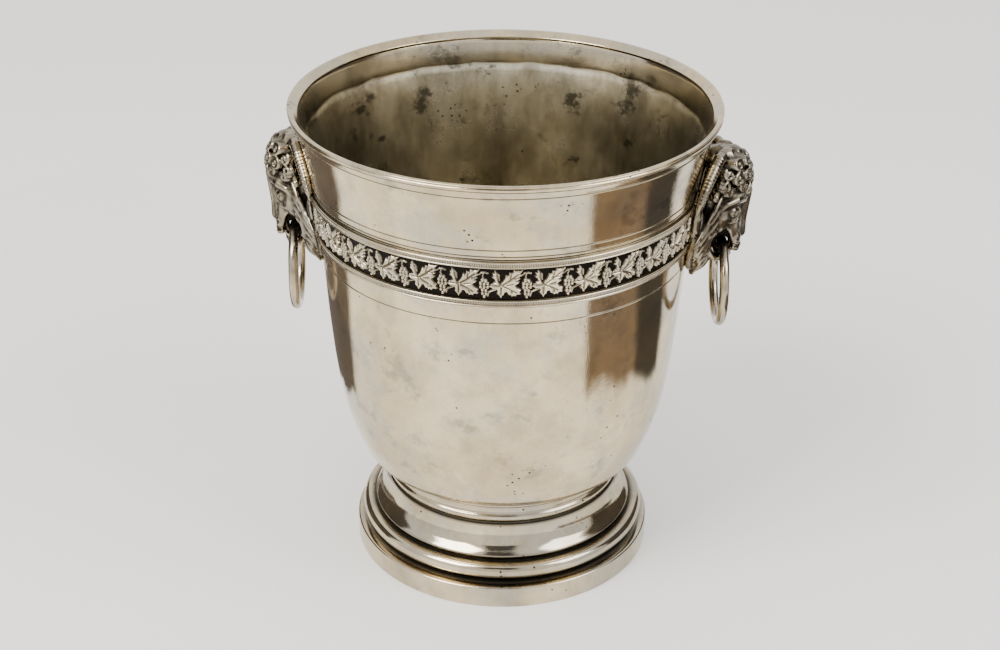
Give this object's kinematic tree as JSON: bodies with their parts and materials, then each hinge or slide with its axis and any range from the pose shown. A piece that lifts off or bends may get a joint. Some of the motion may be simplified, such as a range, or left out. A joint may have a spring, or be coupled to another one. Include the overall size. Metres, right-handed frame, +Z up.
{
  "type": "champagne bucket",
  "caption": "Flared round bucket on a moulded foot, with a vine frieze and a loose ring handle hanging from a ram mask on each side.",
  "frame": {"origin": "centre of the foot's underside, on the table", "axes": "+Z up along the bucket's axis; the ram masks face +X and -X; -Y is the front"},
  "size_m": [0.2288, 0.1988, 0.23],
  "materials": {
    "bowl_silver": "worn polished silver plate, warm, fine scratches and a few pits",
    "foot_silver": "worn polished silver plate, dark in the grooves",
    "frieze_silver": "polished relief over a blackened ground",
    "mask_silver": "cast and polished, blackened in the hollows",
    "ring_silver": "polished round wire, worn",
    "fixing_brass": "plain turned brass"
  },
  "bodies": {
    "bucket": {"bowl": "bowl_silver", "rim_wire": "bowl_silver", "neck_collar": "foot_silver", "foot_shell": "foot_silver", "foot_moulding": "foot_silver", "foot_band": "foot_silver", "frieze_strip_front": "frieze_silver", "frieze_upper_border_front": "frieze_silver", "frieze_lower_border_front": "frieze_silver", "frieze_strip_back": "frieze_silver", "frieze_upper_border_back": "frieze_silver", "frieze_lower_border_back": "frieze_silver", "ram_mask_right": "mask_silver", "mask_stud_right": "fixing_brass", "mask_washer_right": "fixing_brass", "mask_nut_right": "fixing_brass", "ram_mask_left": "mask_silver", "mask_stud_left": "fixing_brass", "mask_washer_left": "fixing_brass", "mask_nut_left": "fixing_brass"},
    "right_ring": {"ring_handle_right": "ring_silver"},
    "left_ring": {"ring_handle_left": "ring_silver"}
  },
  "joints": [
    {"name": "right_ring_swing", "type": "hinge", "parent": "bucket", "child": "right_ring", "pos_m": [0.1019, 0, 0.1642], "axis": [0, -1, 0], "range_deg": [-21, 145]},
    {"name": "left_ring_swing", "type": "hinge", "parent": "bucket", "child": "left_ring", "pos_m": [-0.0997, 0, 0.1642], "axis": [0, 1, 0], "range_deg": [-18, 145]}
  ]
}
